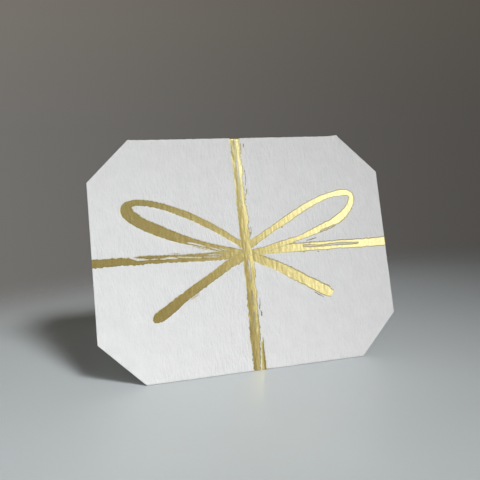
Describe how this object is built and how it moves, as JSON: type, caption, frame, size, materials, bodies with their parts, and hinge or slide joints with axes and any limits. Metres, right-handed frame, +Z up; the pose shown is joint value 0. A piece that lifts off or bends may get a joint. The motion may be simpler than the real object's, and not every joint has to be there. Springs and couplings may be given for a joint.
{
  "type": "folded tent card",
  "caption": "Folded note card with clipped corners that stands like a tent, with a gold foil ribbon and bow on its front leaf.",
  "frame": {"origin": "on the table, midway between the feet of the two leaves, at the middle of the card's width", "axes": "+X to the right along the fold, seen from the front; -Y the way the decorated front leaf faces; +Z up"},
  "size_m": [0.1396, 0.0817, 0.1001],
  "materials": {
    "paper": "white cotton paper with a soft felt grain, matte",
    "foil": "gold hot-stamped foil with dry-brush streaks, semi-gloss"
  },
  "bodies": {
    "front": {"front_leaf": "paper", "fold_crease": "paper", "foil_knot": "foil", "foil_loop_left": "foil", "foil_loop_right": "foil", "foil_tail_left": "foil", "foil_tail_right": "foil", "foil_ribbon_top": "foil", "foil_ribbon_bottom": "foil", "foil_ribbon_bottom_edge": "foil", "foil_ribbon_left": "foil", "foil_ribbon_right": "foil", "foil_hair_top": "foil", "foil_hair_bottom": "foil", "foil_fleck_bottom": "foil", "foil_hair_loop": "foil", "foil_hair_tail_left": "foil", "foil_hair_tail_right": "foil"},
    "back": {"back_leaf": "paper"}
  },
  "joints": [
    {"name": "fold", "type": "hinge", "parent": "front", "child": "back", "pos_m": [0, 0, 0.09943], "axis": [1, 0, 0], "range_deg": [-44, 136]}
  ]
}
